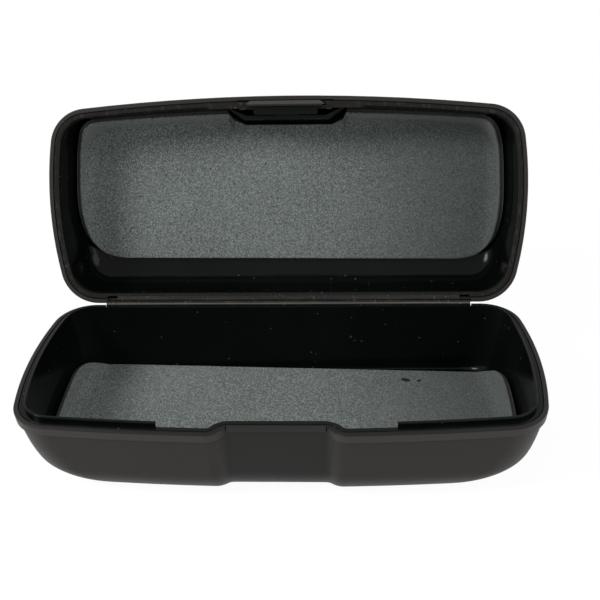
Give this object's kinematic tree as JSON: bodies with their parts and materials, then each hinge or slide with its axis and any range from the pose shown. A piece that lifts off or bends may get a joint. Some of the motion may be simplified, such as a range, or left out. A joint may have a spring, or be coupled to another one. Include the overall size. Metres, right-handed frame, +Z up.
{
  "type": "hinged hard case",
  "caption": "Open hard sunglasses case: two moulded halves on a full-width rear pin hinge, lined glossy trays, a thumb recess in the base and a sprung hook at the lid's front.",
  "frame": {"origin": "centre of the flat on the underside that the case rests on", "axes": "+Z up, +X along the hinge to the viewer's right, -Y towards the front with the thumb recess; the lid stands open on its stop"},
  "size_m": [0.17, 0.1251, 0.0932],
  "materials": {
    "shell": "fine matte texture, warm dark grey",
    "tray": "high gloss black",
    "suede": "short-napped grey-green suede",
    "foam": "closed-cell foam",
    "tape": "double-sided film",
    "hinge": "black anodised",
    "pin": "bright steel",
    "hook": "satin grey",
    "catch": "satin dark grey"
  },
  "bodies": {
    "base": {"base_shell": "shell", "base_tray": "tray", "base_catch": "catch", "base_hinge_leaf": "hinge", "hinge_pin": "pin", "base_liner_tape": "tape", "base_liner_foam": "foam", "base_liner_suede": "suede"},
    "lid": {"lid_shell": "shell", "lid_tray": "tray", "lid_hinge_leaf": "hinge", "lid_liner_tape": "tape", "lid_liner_foam": "foam", "lid_liner_suede": "suede", "latch_pin": "pin", "latch_spring": "pin"},
    "hook": {"latch_hook": "hook"}
  },
  "joints": [
    {"name": "lid_hinge", "type": "hinge", "parent": "base", "child": "lid", "pos_m": [0, 0.03205, 0.0283], "axis": [1, 0, 0], "range_deg": [0, 117.25]},
    {"name": "latch_tilt", "type": "hinge", "parent": "lid", "child": "hook", "pos_m": [0, 0.06746, 0.08897], "axis": [-1, 0, 0], "range_deg": [0, 8], "stiffness_Nm_per_rad": 0.03, "springref_deg": -5.73}
  ]
}
